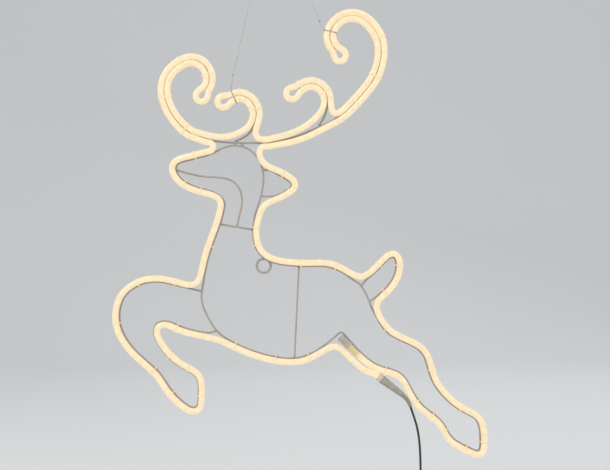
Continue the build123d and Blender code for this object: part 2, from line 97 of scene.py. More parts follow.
class NeonSettings(bpy.types.PropertyGroup):
    """The lit flex, its cap and its feed end."""
    front: colour("Front glow", "Light from the domed front", (0.97, 0.79, 0.51))
    side: colour("Side glow", "Light through the side walls", (0.95, 0.70, 0.40))
    back: colour("Back", "The flat back against the wires", (0.52, 0.33, 0.16))
    unlit: colour("Unlit end", "Silicone past the last lamp", (0.62, 0.50, 0.24))
    silicone: colour("Silicone", "The flex itself, under its light", (0.32, 0.27, 0.18))
    cap: colour("Cap", "The end cap and the feed collar", (0.46, 0.43, 0.37))
    # Grey plastic warmed toward orange: painted light from the neon.
    boot: colour("Boot", "The moulded boot and strain relief", (0.40, 0.36, 0.31))
    glow: share("Glow", "Strength of the light", 0.74, 5)
    lamp_pitch: size("Lamp pitch", "Distance between lamps", 0.0083)
    unlit_length: size("Unlit length", "Dark flex beside the end cap", 0.020)


class FrameSettings(bpy.types.PropertyGroup):
    """Painted wires, weld beads and cable ties."""
    # Darker and warmer than the white paint it stands for: painted shade and warm neon light.
    paint: colour("Paint", "Paint on the wires", (0.40, 0.355, 0.315))
    steel: colour("Steel", "Bare steel where paint has chipped", (0.32, 0.30, 0.28))
    nylon: colour("Nylon", "Cable ties", (0.50, 0.43, 0.30))
    bead_radius: size("Bead radius", "Weld beads", 0.0026)
    tail_length: size("Tail length", "Trimmed end of a tie past its head", 0.0022)


class CordSettings(bpy.types.PropertyGroup):
    """The lead, its coil, its connector and the hanging lines."""
    rubber: colour("Lead", "Sheath of the lead", (0.012, 0.012, 0.013))
    plastic: colour("Connector", "Connector body and collar", (0.020, 0.020, 0.022))
    seal: colour("Seal", "Sealing ring", (0.10, 0.11, 0.12))
    brass: colour("Contacts", "Pins and conductors", (0.74, 0.52, 0.20))
    line: colour("Line", "Nylon hanging line", (0.62, 0.62, 0.60))
    lead_diameter: size("Lead diameter", "Across the sheath", 0.0045)
    lead_length: size("Lead length", "Whole length", 3.0)
    line_diameter: size("Line diameter", "Across a hanging line", 0.0012)


class StageSettings(bpy.types.PropertyGroup):
    """Floor, backdrop, lights and camera."""
    floor: colour("Floor", "Floor and backdrop", (0.80, 0.80, 0.79))
    key: share("Key light", "Power of the large light", 62.0, 1000)
    fill: share("Fill light", "Power of the second light", 26.0, 1000)
    air: share("Air", "Brightness of the surroundings", 0.62, 10)
    camera_distance: size("Camera distance", "From the flex to the camera", 2.0)
    view_width: size("View width", "What the camera sees at the flex", 1.22)


class ReindeerSettings(bpy.types.PropertyGroup):
    """Everything that a user would change."""
    neon: bpy.props.PointerProperty(type=NeonSettings)
    frame: bpy.props.PointerProperty(type=FrameSettings)
    cords: bpy.props.PointerProperty(type=CordSettings)
    stage: bpy.props.PointerProperty(type=StageSettings)


# ------------------------------------------------------------------ node tools
def socket_in(tree, name, kind, value=None):
    made = tree.interface.new_socket(name=name, in_out="INPUT", socket_type=kind)
    if value is not None:
        made.default_value = value
    return made


def socket_out(tree, name, kind):
    return tree.interface.new_socket(name=name, in_out="OUTPUT", socket_type=kind)


def node(tree, kind, **wanted):
    """A node with its inputs set: an input takes a number, a colour or another node's output."""
    made = tree.nodes.new(kind)
    inputs = wanted.pop("inputs", {})
    for name, value in wanted.items():
        setattr(made, name, value)
    for name, value in inputs.items():
        if isinstance(value, bpy.types.NodeSocket):
            tree.links.new(value, made.inputs[name])
        else:
            made.inputs[name].default_value = value
    return made


def sum_of(tree, operation, first, second):
    return node(tree, "ShaderNodeMath", operation=operation,
                inputs={0: first, 1: second}).outputs[0]


def ranged(tree, value, low, high, to_low=0.0, to_high=1.0):
    """A value stretched from one range to another, and held inside it."""
    stretched = node(tree, "ShaderNodeMapRange", interpolation_type="SMOOTHSTEP", inputs={
        "Value": value, "From Min": low, "From Max": high, "To Min": to_low, "To Max": to_high})
    return stretched.outputs["Result"]


def mixed(tree, factor, first, second, blend="MIX"):
    """Two colours mixed; each is an output, or three numbers."""
    made = tree.nodes.new("ShaderNodeMix")
    made.data_type = "RGBA"
    made.blend_type = blend
    for socket, value in ((made.inputs[0], factor), (made.inputs[6], first),
                          (made.inputs[7], second)):
        if isinstance(value, bpy.types.NodeSocket):
            tree.links.new(value, socket)
        elif isinstance(value, float):
            socket.default_value = value
        else:
            socket.default_value = (*value, 1)
    return made.outputs[2]


def object_place(tree):
    return node(tree, "ShaderNodeTexCoord").outputs["Object"]


def grain_group():
    """Moulded skin: a fine height and a broad, soft mottle."""
    tree = bpy.data.node_groups.new("Moulded grain", "ShaderNodeTree")
    socket_in(tree, "Grain Size", "NodeSocketFloat", 0.0006)
    socket_in(tree, "Mottle Size", "NodeSocketFloat", 0.02)
    socket_out(tree, "Height", "NodeSocketFloat")
    socket_out(tree, "Mottle", "NodeSocketFloat")
    given = tree.nodes.new("NodeGroupInput")
    result = tree.nodes.new("NodeGroupOutput")
    place = object_place(tree)
    fine = node(tree, "ShaderNodeTexNoise", inputs={
        "Vector": place, "Detail": 3.0,
        "Scale": sum_of(tree, "DIVIDE", 1.0, given.outputs["Grain Size"])})
    broad = node(tree, "ShaderNodeTexNoise", inputs={
        "Vector": place, "Detail": 2.0,
        "Scale": sum_of(tree, "DIVIDE", 1.0, given.outputs["Mottle Size"])})
    tree.links.new(fine.outputs["Fac"], result.inputs["Height"])
    tree.links.new(ranged(tree, broad.outputs["Fac"], 0.3, 0.7), result.inputs["Mottle"])
    return tree


def wear_group():
    """Small scuffs and chips, scattered in patches."""
    tree = bpy.data.node_groups.new("Scattered wear", "ShaderNodeTree")
    socket_in(tree, "Chip Size", "NodeSocketFloat", 0.003)
    socket_in(tree, "Amount", "NodeSocketFloat", 0.3)
    socket_out(tree, "Mask", "NodeSocketFloat")
    given = tree.nodes.new("NodeGroupInput")
    result = tree.nodes.new("NodeGroupOutput")
    place = object_place(tree)
    chips = node(tree, "ShaderNodeTexNoise", inputs={
        "Vector": place, "Scale": sum_of(tree, "DIVIDE", 1.0, given.outputs["Chip Size"]),
        "Detail": 5.0, "Roughness": 0.62})
    patches = node(tree, "ShaderNodeTexNoise",
                   inputs={"Vector": place, "Scale": 24.0, "Detail": 1.0})
    both = sum_of(tree, "MULTIPLY", chips.outputs["Fac"], patches.outputs["Fac"])
    edge = sum_of(tree, "SUBTRACT", 0.52, sum_of(tree, "MULTIPLY", given.outputs["Amount"], 0.25))
    mask = ranged(tree, both, edge, sum_of(tree, "ADD", edge, 0.03))
    tree.links.new(mask, result.inputs["Mask"])
    return tree


def teeth_group():
    """Fine ridges across a strap or sheath, along the depth of the motif."""
    tree = bpy.data.node_groups.new("Fine ridges", "ShaderNodeTree")
    socket_in(tree, "Pitch", "NodeSocketFloat", 0.001)
    socket_out(tree, "Height", "NodeSocketFloat")
    given = tree.nodes.new("NodeGroupInput")
    result = tree.nodes.new("NodeGroupOutput")
    depth = node(tree, "ShaderNodeSeparateXYZ", inputs={0: object_place(tree)}).outputs["Y"]
    turns = sum_of(tree, "DIVIDE", depth, given.outputs["Pitch"])
    ridge = sum_of(tree, "PINGPONG", turns, 0.5)
    tree.links.new(sum_of(tree, "MULTIPLY", ridge, 2.0), result.inputs["Height"])
    return tree


def shared(name, make):
    return bpy.data.node_groups.get(name) or make()


class Finish:
    """A material in the making. Plain numbers go straight on to the shader's sockets."""

    def __init__(self, name, **sockets):
        self.material = bpy.data.materials.new(name)
        self.material.use_nodes = True
        self.tree = self.material.node_tree
        self.shader = self.tree.nodes["Principled BSDF"]
        for key, value in sockets.items():
            socket = self.shader.inputs[key.replace("_", " ")]
            socket.default_value = (*value, 1) if hasattr(value, "__len__") else value

    def group(self, make, name, **inputs):
        made = node(self.tree, "ShaderNodeGroup", node_tree=shared(name, make))
        for key, value in inputs.items():
            made.inputs[key.replace("_", " ")].default_value = value
        return made.outputs

    def grain(self, grain_size, mottle_size):
        return self.group(grain_group, "Moulded grain",
                          Grain_Size=grain_size, Mottle_Size=mottle_size)

    def wear(self, chip_size, amount):
        return self.group(wear_group, "Scattered wear", Chip_Size=chip_size, Amount=amount)["Mask"]

    def teeth(self, pitch):
        return self.group(teeth_group, "Fine ridges", Pitch=pitch)["Height"]

    def set(self, socket, value):
        self.tree.links.new(value, self.shader.inputs[socket])

    def bump(self, height, distance, strength=0.5):
        raised = node(self.tree, "ShaderNodeBump", inputs={
            "Height": height, "Distance": distance, "Strength": strength})
        self.set("Normal", raised.outputs["Normal"])


def tinted(value, factor):
    return tuple(channel * factor for channel in value)


def finished(name, material):
    """A CAD node's own solid takes a finish."""
    piece = frame["nodes"][name]
    if not piece.material_slots:
        piece.data.materials.append(material)
    for slot in piece.material_slots:
        slot.material = material


def mesh_piece(name, mesh, material, body="motif"):
    """A new piece from a finished mesh, riding on a CAD body."""
    mesh.materials.clear()
    mesh.materials.append(material)
    piece = bpy.data.objects.new(name, mesh)
    bpy.context.collection.objects.link(piece)
    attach(piece, body)
    return piece


def evaluated_mesh(holder):
    """The plain mesh of a holder with its modifiers applied; the holder goes away."""
    bpy.context.view_layer.update()
    graph = bpy.context.evaluated_depsgraph_get()
    mesh = bpy.data.meshes.new_from_object(holder.evaluated_get(graph))
    bpy.data.objects.remove(holder)
    return mesh


def scattered(name, tree, places, turns, settings):
    """Runs a tree of instances on places and gives back one plain mesh."""
    mesh = bpy.data.meshes.new(name + "_places")
    mesh.from_pydata(places, [], [])
    turn = mesh.attributes.new("turn", "FLOAT", "POINT")
    turn.data.foreach_set("value", turns)
    holder = bpy.data.objects.new(name + "_holder", mesh)
    bpy.context.collection.objects.link(holder)
    modifier = holder.modifiers.new("Scatter", "NODES")
    modifier.node_group = tree
    for socket in tree.interface.items_tree:
        if socket.in_out == "INPUT" and socket.name in settings:
            modifier[socket.identifier] = settings[socket.name]
    return evaluated_mesh(holder)


def curve_piece(name, points, radius, closed=False, smooth=True, resolution=6):
    """A round rod or cord along a few points."""
    curve = bpy.data.curves.new(name, "CURVE")
    curve.dimensions = "3D"
    curve.bevel_depth = radius
    curve.bevel_resolution = 3
    curve.resolution_u = resolution
    curve.use_fill_caps = not closed
    spline = curve.splines.new("NURBS" if smooth else "POLY")
    spline.points.add(len(points) - 1)
    for knot, place in zip(spline.points, points):
        knot.co = (*place, 1)
    spline.use_cyclic_u = closed
    if smooth:
        spline.order_u = 3
        spline.use_endpoint_u = not closed
    piece = bpy.data.objects.new(name, curve)
    bpy.context.collection.objects.link(piece)
    return piece


def curve_mesh(points, radius, closed=False, smooth=True, resolution=6):
    return evaluated_mesh(curve_piece("shape", points, radius, closed, smooth, resolution))


# ------------------------------------------------------------------ the neon
def neon_finish(name, settings, unlit_from=None):
    """Silicone lit from inside: bright domed front, amber walls, dark back."""
    finish = Finish(name, Base_Color=settings.silicone, Roughness=0.38, Coat_Weight=0.12,
                    Coat_Roughness=0.3, Emission_Strength=settings.glow)
    tree = finish.tree
    place = object_place(tree)
    depth = node(tree, "ShaderNodeSeparateXYZ", inputs={0: place}).outputs["Y"]
    towards = ranged(tree, depth, NEON_BACK, NEON_FRONT)
    ramp = node(tree, "ShaderNodeValToRGB", inputs={0: towards})
    stops = ((0.0, settings.back), (0.10, tinted(settings.side, 0.62)), (0.45, settings.side),
             (0.80, tinted(settings.front, 0.96)), (1.0, settings.front))
    ramp.color_ramp.elements.remove(ramp.color_ramp.elements[0])
    for position, value in stops[:-1]:
        ramp.color_ramp.elements.new(position).color = (*value, 1)
    ramp.color_ramp.elements[-1].position = 1.0
    ramp.color_ramp.elements[-1].color = (*settings.front, 1)
    skin = finish.grain(0.0009, settings.lamp_pitch)
    softened = ranged(tree, skin["Mottle"], 0.0, 1.0, 0.90, 1.0)
    light = mixed(tree, 1.0, ramp.outputs["Color"], softened, "MULTIPLY")
    body = mixed(tree, skin["Mottle"], tinted(settings.silicone, 0.92), settings.silicone)
    # Past the last lamp the flex keeps a faint painted glow, the unlit colour at 0.22, standing in
    # for light led along from the lit flex.
    if unlit_from is not None:
        centre, reach = unlit_from
        away = node(tree, "ShaderNodeVectorMath", operation="DISTANCE",
                    inputs={0: place, 1: centre})
        lit = ranged(tree, away.outputs["Value"], reach * 0.75, reach * 1.12)
        light = mixed(tree, lit, tinted(settings.unlit, 0.22), light)
        body = mixed(tree, lit, settings.unlit, body)
    finish.set("Emission Color", light)
    finish.set("Base Color", body)
    finish.set("Roughness", ranged(tree, skin["Height"], 0.3, 0.7, 0.30, 0.46))
    finish.bump(skin["Height"], 0.00012, 0.35)
    return finish.material


def strip_finish(settings):
    """A pale flexible board with a yellow lamp at each pitch."""
    finish = Finish("Lamp ribbon", Roughness=0.42)
    tree = finish.tree
    lamps = node(tree, "ShaderNodeTexVoronoi", inputs={
        "Vector": object_place(tree), "Scale": 1 / settings.lamp_pitch, "Randomness": 0.0})
    mask = ranged(tree, lamps.outputs["Distance"], 0.28, 0.22, 0.0, 1.0)
    skin = finish.grain(0.0008, 0.012)
    board = mixed(tree, skin["Mottle"], (0.70, 0.69, 0.64), (0.80, 0.79, 0.74))
    finish.set("Base Color", mixed(tree, mask, board, (0.85, 0.60, 0.12)))
    finish.bump(mask, 0.0004)
    return finish.material


def silicone_finish(name, value, settings, lit_centre):
    """Cloudy silicone with a painted glow near the flex beside it, standing in for the light it
    takes from the flex.
    """
    finish = Finish(name, Roughness=0.34, Coat_Weight=0.2, Coat_Roughness=0.25,
                    Subsurface_Weight=0.15, Emission_Strength=0.35)
    finish.shader.inputs["Subsurface Scale"].default_value = 0.004
    tree = finish.tree
    skin = finish.grain(0.0007, 0.006)
    # Painted glow: cap and collar emit the flex's side colour near its mouth, though they are no
    # lamp.
    away = node(tree, "ShaderNodeVectorMath", operation="DISTANCE",
                inputs={0: object_place(tree), 1: lit_centre})
    painted_spill = ranged(tree, away.outputs["Value"], 0.018, 0.0, 0.0, 0.9)
    finish.set("Base Color", mixed(tree, skin["Mottle"], tinted(value, 0.85), value))
    finish.set("Emission Color", mixed(tree, painted_spill, (0.0, 0.0, 0.0), settings.side))
    finish.set("Roughness", ranged(tree, skin["Height"], 0.3, 0.7, 0.26, 0.42))
    finish.bump(skin["Height"], 0.00015, 0.4)
    return finish.material


class REINDEER_OT_neon(bpy.types.Operator):
    """Light the neon flex and finish the lamp ribbon inside it"""
    bl_idname = "reindeer.neon"
    bl_label = "Neon flex"

    def execute(self, context):
        settings = context.scene.reindeer.neon
        lit = neon_finish("Lit silicone", settings)
        low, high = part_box("neon_end_cap")
        reach = (high - low).length / 2 + settings.unlit_length
        ending = neon_finish("Lit silicone by the cap", settings, ((low + high) / 2, reach))
        for name in frame["nodes"]:
            if name.startswith("neon_") and name != "neon_end_cap":
                finished(name, ending if name == "neon_hind_leg_front" else lit)
        finished("led_strip", strip_finish(settings))
        return {"FINISHED"}


class REINDEER_OT_ends(bpy.types.Operator):
    """Finish the end cap, the feed collar, the boot and the strain relief"""
    bl_idname = "reindeer.ends"
    bl_label = "Cap and feed end"

    def execute(self, context):
        settings = context.scene.reindeer.neon
        low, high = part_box("neon_end_cap")
        cap_mouth = Vector((high.x, NEON_MIDDLE, low.z))
        finished("neon_end_cap", silicone_finish("Cap silicone", settings.cap, settings, cap_mouth))
        low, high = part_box("feed_collar")
        mouth = (low + high) / 2
        finished("feed_collar", silicone_finish("Collar silicone", settings.cap, settings, mouth))
        boot = Finish("Boot plastic", Coat_Weight=0.08, Coat_Roughness=0.4)
        tree = boot.tree
        skin = boot.grain(0.0005, 0.009)
        scuffs = boot.wear(0.002, 0.35)
        # The boot colour carries a painted warm tint of the neon's light over its grey plastic.
        body = mixed(tree, skin["Mottle"], tinted(settings.boot, 0.8), settings.boot)
        boot.set("Base Color", mixed(tree, scuffs, body, tinted(settings.boot, 1.35)))
        boot.set("Roughness", ranged(tree, skin["Height"], 0.3, 0.7, 0.42, 0.62))
        boot.bump(skin["Height"], 0.0002, 0.5)
        finished("feed_boot", boot.material)
        finished("strain_relief", boot.material)
        return {"FINISHED"}


# ------------------------------------------------------------------ the frame
# Where wires are welded to each other, seen from the front, in metres.
WELDS = (
    (-0.0852, 0.0832), (-0.0235, 0.0731), (-0.1719, 0.1914), (-0.0535, 0.0802), (0.0010, 0.1926),
    (-0.0027, 0.1399), (-0.0973, -0.1310), (-0.1262, -0.0505), (0.1975, -0.0381), (0.2128, -0.0705),
    (-0.0550, 0.2507), (0.1119, 0.2830), (0.0709, -0.0024), (0.0621, -0.1833), (-0.0579, 0.2445),
    (-0.0430, 0.2434),
)
RING_WELD = (0.0069, 0.0121)
BEAD_FLATNESS = 0.72


def bead_tree():
    """Lumpy weld beads on points."""
    tree = bpy.data.node_groups.new("Weld beads", "GeometryNodeTree")
    socket_in(tree, "Geometry", "NodeSocketGeometry")
    socket_in(tree, "Bead Radius", "NodeSocketFloat", 0.0026)
    socket_in(tree, "Lumpiness", "NodeSocketFloat", 0.0005)
    socket_in(tree, "Seed", "NodeSocketInt", 7)
    socket_in(tree, "Material", "NodeSocketMaterial")
    socket_out(tree, "Geometry", "NodeSocketGeometry")
    given = tree.nodes.new("NodeGroupInput")
    result = tree.nodes.new("NodeGroupOutput")
    ball = node(tree, "GeometryNodeMeshIcoSphere", inputs={
        "Radius": given.outputs["Bead Radius"], "Subdivisions": 4})
    turn = node(tree, "FunctionNodeRandomValue", data_type="FLOAT_VECTOR", inputs={
        "Max": (0.0, math.tau, 0.0), "Seed": given.outputs["Seed"]})
    swell = node(tree, "FunctionNodeRandomValue", data_type="FLOAT_VECTOR", inputs={
        "Min": (0.86, BEAD_FLATNESS, 0.86), "Max": (1.18, BEAD_FLATNESS, 1.18),
        "Seed": given.outputs["Seed"]})
    placed = node(tree, "GeometryNodeInstanceOnPoints", inputs={
        "Points": given.outputs["Geometry"], "Instance": ball.outputs["Mesh"],
        "Rotation": turn.outputs["Value"], "Scale": swell.outputs["Value"]})
    solid = node(tree, "GeometryNodeRealizeInstances",
                 inputs={"Geometry": placed.outputs["Instances"]})
    noise = node(tree, "ShaderNodeTexNoise", inputs={
        "Vector": node(tree, "GeometryNodeInputPosition").outputs[0],
        "Scale": 620.0, "Detail": 2.0})
    height = sum_of(tree, "MULTIPLY", sum_of(tree, "SUBTRACT", noise.outputs["Fac"], 0.5),
                    given.outputs["Lumpiness"])
    push = node(tree, "ShaderNodeVectorMath", operation="SCALE", inputs={
        0: node(tree, "GeometryNodeInputNormal").outputs["Normal"], "Scale": height})
    lumpy = node(tree, "GeometryNodeSetPosition", inputs={
        "Geometry": solid.outputs[0], "Offset": push.outputs[0]})
    smooth = node(tree, "GeometryNodeSetShadeSmooth", inputs={"Geometry": lumpy.outputs[0]})
    painted = node(tree, "GeometryNodeSetMaterial", inputs={
        "Geometry": smooth.outputs[0], "Material": given.outputs["Material"]})
    tree.links.new(painted.outputs[0], result.inputs[0])
    return tree


def paint_finish(name, settings, chips):
    """White paint over steel wire, a little orange-peeled and chipped; its colour is white darkened
    and warmed, painted shade and warm neon light.
    """
    finish = Finish(name, Coat_Weight=0.25, Coat_Roughness=0.22)
    tree = finish.tree
    skin = finish.grain(0.0011, 0.03)
    bare = finish.wear(0.0022, chips)
    paint = mixed(tree, skin["Mottle"], tinted(settings.paint, 0.88), settings.paint)
    finish.set("Base Color", mixed(tree, bare, paint, settings.steel))
    finish.set("Metallic", bare)
    finish.set("Roughness", ranged(tree, skin["Height"], 0.3, 0.7, 0.34, 0.50))
    lowered = sum_of(tree, "SUBTRACT", skin["Height"], bare)
    finish.bump(lowered, 0.00012, 0.5)
    return finish.material


class REINDEER_OT_frame(bpy.types.Operator):
    """Paint the wires and the ring, and lay a weld bead at each joint"""
    bl_idname = "reindeer.frame"
    bl_label = "Wire frame"

    def execute(self, context):
        settings = context.scene.reindeer.frame
        paint = paint_finish("Painted wire", settings, 0.30)
        for name in frame["nodes"]:
            if name.endswith("_wire") or name in ("belly_brace", "hanging_ring"):
                finished(name, paint)
        beads = paint_finish("Painted weld", settings, 0.75)
        places = [(x, WIRE_MIDDLE, z) for x, z in WELDS]
        places.append((RING_WELD[0], WIRE_MIDDLE / 2, RING_WELD[1]))
        mesh = scattered("weld_beads", bead_tree(), places, [0.0] * len(places), {
            "Bead Radius": settings.bead_radius, "Lumpiness": 0.0009,
            "Seed": 11, "Material": beads})
        mesh_piece("weld_beads", mesh, beads)
        return {"FINISHED"}


# ------------------------------------------------------------------ cable ties
TIE_HALF_WIDTH = 0.0013
TIE_HEAD_HALF = 0.0021


def islands(piece):
    """The separate solids of a node, each as its points."""
    joined = bmesh.new()
    joined.from_mesh(piece.data)
    bmesh.ops.remove_doubles(joined, verts=joined.verts, dist=1e-6)
    left = set(joined.verts)
    found = []
    while left:
        start = min(left, key=lambda vertex: vertex.index)
        reached, waiting = {start}, [start]
        while waiting:
            for edge in waiting.pop().link_edges:
                for vertex in edge.verts:
                    if vertex not in reached:
                        reached.add(vertex)
                        waiting.append(vertex)
        left -= reached
        found.append([vertex.co.copy()
                      for vertex in sorted(reached, key=lambda vertex: vertex.index)])
    joined.free()
    return found


def tie_head(points):
    """The centre of a tie's square head, and how far the tie is turned in the motif's plane."""
    centre = sum(points, Vector()) / len(points)
    xx = sum((point.x - centre.x) ** 2 for point in points)
    zz = sum((point.z - centre.z) ** 2 for point in points)
    xz = sum((point.x - centre.x) * (point.z - centre.z) for point in points)
    across = 0.5 * math.atan2(2 * xz, xx - zz)
    along = Vector((-math.sin(across), 0, math.cos(across)))
    offsets = [abs((point - centre).dot(along)) for point in points]
    wide = max(offsets) * 0.9
    corners = [point for point, offset in zip(points, offsets) if offset > wide]
    return sum(corners, Vector()) / len(corners), -across


def tail_tree():
    """The trimmed end of a cable tie, standing out of its head."""
    tree = bpy.data.node_groups.new("Tie tails", "GeometryNodeTree")
    socket_in(tree, "Geometry", "NodeSocketGeometry")
    socket_in(tree, "Tail Length", "NodeSocketFloat", 0.0022)
    socket_in(tree, "Tail Width", "NodeSocketFloat", 0.0022)
    socket_in(tree, "Tail Thickness", "NodeSocketFloat", 0.0008)
    socket_in(tree, "Seed", "NodeSocketInt", 3)
    socket_in(tree, "Material", "NodeSocketMaterial")
    socket_out(tree, "Geometry", "NodeSocketGeometry")
    given = tree.nodes.new("NodeGroupInput")
    result = tree.nodes.new("NodeGroupOutput")
    whole = sum_of(tree, "ADD", given.outputs["Tail Length"], TIE_HEAD_HALF)
    tip = node(tree, "ShaderNodeCombineXYZ", inputs={"Y": sum_of(tree, "MULTIPLY", whole, -1.0)})
    line = node(tree, "GeometryNodeCurvePrimitiveLine", inputs={"End": tip.outputs[0]})
    finer = node(tree, "GeometryNodeResampleCurve", inputs={"Curve": line.outputs[0], "Count": 9})
    profile = node(tree, "GeometryNodeCurvePrimitiveQuadrilateral", inputs={
        "Width": given.outputs["Tail Thickness"], "Height": given.outputs["Tail Width"]})
    rounded = node(tree, "GeometryNodeFilletCurve", inputs={
        "Curve": profile.outputs[0], "Radius": 0.00025})
    strap = node(tree, "GeometryNodeCurveToMesh", inputs={
        "Curve": finer.outputs[0], "Profile Curve": rounded.outputs[0], "Fill Caps": True})
    length = node(tree, "FunctionNodeRandomValue", data_type="FLOAT", inputs={
        "Min": 0.82, "Max": 1.18, "Seed": given.outputs["Seed"]})
    turn = node(tree, "GeometryNodeInputNamedAttribute", data_type="FLOAT", inputs={"Name": "turn"})
    placed = node(tree, "GeometryNodeInstanceOnPoints", inputs={
        "Points": given.outputs["Geometry"], "Instance": strap.outputs["Mesh"],
        "Rotation": node(tree, "ShaderNodeCombineXYZ",
                         inputs={"Y": turn.outputs["Attribute"]}).outputs[0],
        "Scale": node(tree, "ShaderNodeCombineXYZ", inputs={
            "X": 1.0, "Y": length.outputs[1], "Z": 1.0}).outputs[0]})
    solid = node(tree, "GeometryNodeRealizeInstances",
                 inputs={"Geometry": placed.outputs["Instances"]})
    painted = node(tree, "GeometryNodeSetMaterial", inputs={
        "Geometry": solid.outputs[0], "Material": given.outputs["Material"]})
    tree.links.new(painted.outputs[0], result.inputs[0])
    return tree


# the ties carry a painted glow at this share of the light of the flex they hold
TIE_PAINTED_GLOW_SHARE = 0.66


class REINDEER_OT_ties(bpy.types.Operator):
    """Finish the cable ties and give each one its trimmed tail"""
    bl_idname = "reindeer.ties"
    bl_label = "Cable ties"

    def execute(self, context):
        settings = context.scene.reindeer.frame
        glow = context.scene.reindeer.neon
        # Painted glow: the nylon ties emit the flex's colours, brighter at the front than at the
        # back, though they are no lamp.
        nylon = Finish("Tie nylon", Subsurface_Weight=0.2, Coat_Weight=0.1,
                       Emission_Strength=glow.glow * TIE_PAINTED_GLOW_SHARE)
        nylon.shader.inputs["Subsurface Scale"].default_value = 0.002
        tree = nylon.tree
        depth = node(tree, "ShaderNodeSeparateXYZ", inputs={0: object_place(tree)}).outputs["Y"]
        lit = ranged(tree, depth, NEON_BACK, NEON_FRONT)
        nylon.set("Emission Color", mixed(tree, lit, tinted(glow.side, 0.55), glow.front))
        skin = nylon.grain(0.0006, 0.008)
        nylon.set("Base Color", mixed(tree, skin["Mottle"],
                                   tinted(settings.nylon, 0.82), settings.nylon))
        nylon.set("Roughness", ranged(tree, skin["Height"], 0.3, 0.7, 0.30, 0.46))
        nylon.bump(sum_of(tree, "ADD", nylon.teeth(0.0009), skin["Height"]), 0.00012, 0.6)
        places, turns = [], []
        for name in sorted(frame["nodes"]):
            if name.endswith("_ties"):
                finished(name, nylon.material)
                for points in islands(frame["nodes"][name]):
                    place, turn = tie_head(points)
                    places.append(tuple(place))
                    turns.append(turn)
        mesh = scattered("tie_tails", tail_tree(), places, turns, {
            "Tail Length": settings.tail_length, "Seed": 5, "Material": nylon.material})
        mesh_piece("tie_tails", mesh, nylon.material)
        return {"FINISHED"}


# ------------------------------------------------------------------ the lead
LEAD_EXIT = Vector((0.29343, NEON_MIDDLE, -0.27988))
LEAD_ROUTE = ((0, 0), (0.0044, -0.0128), (0.0091, -0.0265), (0.0134, -0.041), (0.0169, -0.059),
              (0.0193, -0.081), (0.0204, -0.108), (0.0212, -0.143))
COIL_TURNS = 18
COIL_STEPS = 14
COIL_LAYERS = 5
COIL_RADIUS = 0.0245
COIL_PITCH = 0.0045
COIL_SPAN = 0.0158
COIL_SET_BACK = 0.0013
TIE_SQUEEZE = 0.26
TIE_REACH = 30.0
# From the coil's inner turn, over its front and down into the connector.
LEAD_END_ROUTE = ((0.0165, -0.0205, -0.012), (0.0205, -0.0212, -0.024), (0.0245, -0.0205, -0.032),
                  (0.0282, -0.0165, -0.039), (0.0291, -0.0130, -0.0445), (0.0291, -0.0126, -0.049))


def coil_turns(centre):
    """The stored turns, laid in layers from the outside in and pinched by the strap."""
    points = []
    turns_each = COIL_TURNS / COIL_LAYERS
    outermost = (COIL_LAYERS - 1) / 2
    for step in range(COIL_TURNS * COIL_STEPS + 1):
        turn = step / COIL_STEPS
        layer = min(int(turn / turns_each), COIL_LAYERS - 1)
        along = turn / turns_each - layer
        stepping = 0.0
        if layer < COIL_LAYERS - 1:
            stepping = max(0.0, 1 - (1 - along) * turns_each / 0.3)
        outwards = (outermost - layer - stepping) * COIL_PITCH
        sideways = (0.5 - along) * COIL_SPAN * (1 if layer % 2 == 0 else -1)
        angle = -math.tau * turn
        from_strap = math.degrees(math.acos(max(-1.0, min(1.0, math.sin(angle)))))
        pinch = 1 - TIE_SQUEEZE * math.exp(-(from_strap / TIE_REACH) ** 2)
        reach = COIL_RADIUS + outwards * pinch
        depth = centre.y + COIL_SET_BACK + sideways * pinch
        points.append((centre.x + reach * math.cos(angle), depth,
                       centre.z + reach * math.sin(angle)))
    return points


def sheath_finish(settings):
    """Satin black sheath with faint scuffs."""
    finish = Finish("Lead sheath", Coat_Weight=0.1, Coat_Roughness=0.35)
    tree = finish.tree
    skin = finish.grain(0.0008, 0.02)
    scuffs = finish.wear(0.003, 0.5)
    body = mixed(tree, skin["Mottle"], settings.rubber, tinted(settings.rubber, 1.8))
    finish.set("Base Color", mixed(tree, scuffs, body, tinted(settings.rubber, 5.0)))
    finish.set("Roughness", ranged(tree, skin["Height"], 0.3, 0.7, 0.38, 0.58))
    finish.bump(skin["Height"], 0.0001, 0.5)
    return finish.material


